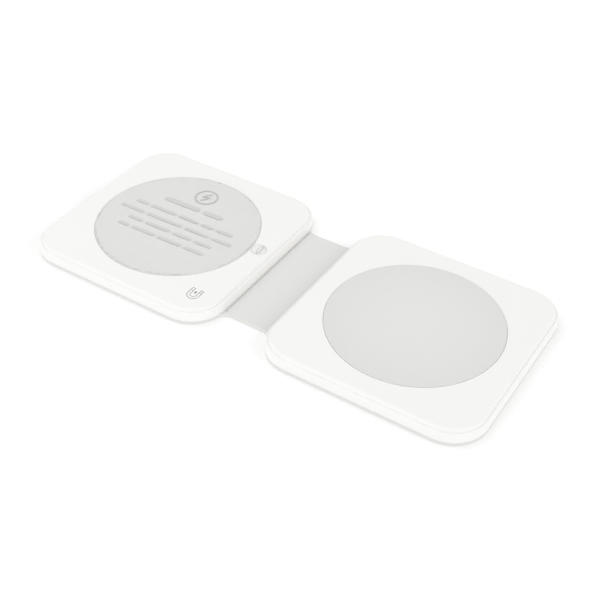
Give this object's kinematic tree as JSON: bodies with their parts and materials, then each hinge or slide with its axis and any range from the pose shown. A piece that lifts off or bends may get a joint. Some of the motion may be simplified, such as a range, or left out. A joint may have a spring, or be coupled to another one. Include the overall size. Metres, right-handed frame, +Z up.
{
  "type": "folding wireless charging pad",
  "caption": "Flat folding wireless charger: square white pads with round grey soft discs, joined by a soft grey neck that folds them face to face.",
  "frame": {"origin": "on the surface the charger lies on, under the middle of the neck", "axes": "+X along the neck from the phone pad to the second pad, +Y away from the viewer along the bending lines, +Z up"},
  "size_m": [0.1632, 0.0728, 0.0053],
  "materials": {
    "shell_white": "fine satin moulded white plastic",
    "skin_silicone": "soft matt light grey silicone",
    "disc_silicone": "soft matt light grey silicone, very fine grain",
    "clear_film": "thin clear protective film with grey print",
    "inner_plate": "plain moulded plastic",
    "carrier_black": "black moulded plastic",
    "magnet_nickel": "nickel plated magnet",
    "steel": "plain stamped steel",
    "ferrite": "dark grey ferrite sheet",
    "copper": "enamelled copper wire",
    "board_green": "green circuit board with solder mask",
    "chip_black": "black moulded package",
    "inductor_grey": "dark grey pressed powder inductor",
    "capacitor_tan": "tan ceramic capacitor",
    "bead_grey": "small thermistor bead",
    "flex_amber": "amber polyimide flat cable",
    "lamp_white": "small white lamp package",
    "light_guide": "clear light guide"
  },
  "bodies": {
    "phone_pad": {"phone_board": "board_green", "phone_bottom_plate": "inner_plate", "phone_capacitor_a": "capacitor_tan", "phone_capacitor_b": "capacitor_tan", "phone_clear_film": "clear_film", "phone_coil": "copper", "phone_coil_carrier": "carrier_black", "phone_coil_return_lead": "copper", "phone_control_chip": "chip_black", "phone_ferrite": "ferrite", "phone_flex_cable": "flex_amber", "phone_frame": "shell_white", "phone_inductor": "inductor_grey", "phone_light_guide": "light_guide", "phone_magnet_01": "magnet_nickel", "phone_magnet_02": "magnet_nickel", "phone_magnet_03": "magnet_nickel", "phone_magnet_04": "magnet_nickel", "phone_magnet_05": "magnet_nickel", "phone_magnet_06": "magnet_nickel", "phone_magnet_07": "magnet_nickel", "phone_magnet_08": "magnet_nickel", "phone_magnet_09": "magnet_nickel", "phone_magnet_10": "magnet_nickel", "phone_magnet_yoke": "steel", "phone_orientation_magnet": "magnet_nickel", "phone_power_chip": "chip_black", "phone_skin": "skin_silicone", "phone_soft_disc": "disc_silicone", "phone_status_lamp": "lamp_white", "phone_thermistor": "bead_grey", "phone_top_cover": "shell_white", "phone_usb_c_shell": "steel", "phone_usb_c_tongue": "chip_black"},
    "neck": {"neck_band": "skin_silicone", "neck_flex_cable": "flex_amber"},
    "second_pad": {"second_board": "board_green", "second_bottom_plate": "inner_plate", "second_capacitor": "capacitor_tan", "second_coil": "copper", "second_coil_carrier": "carrier_black", "second_coil_return_lead": "copper", "second_driver_chip": "chip_black", "second_ferrite": "ferrite", "second_flex_cable": "flex_amber", "second_frame": "shell_white", "second_inductor": "inductor_grey", "second_skin": "skin_silicone", "second_soft_disc": "disc_silicone", "second_thermistor": "bead_grey", "second_top_cover": "shell_white"}
  },
  "joints": [
    {"name": "phone_side_fold", "type": "hinge", "parent": "phone_pad", "child": "neck", "pos_m": [-0.0047, 0, 0.0006], "axis": [0, -1, 0], "range_deg": [-90, 90]},
    {"name": "second_side_fold", "type": "hinge", "parent": "neck", "child": "second_pad", "pos_m": [0.0047, 0, 0.0006], "axis": [0, -1, 0], "range_deg": [-90, 90]}
  ]
}
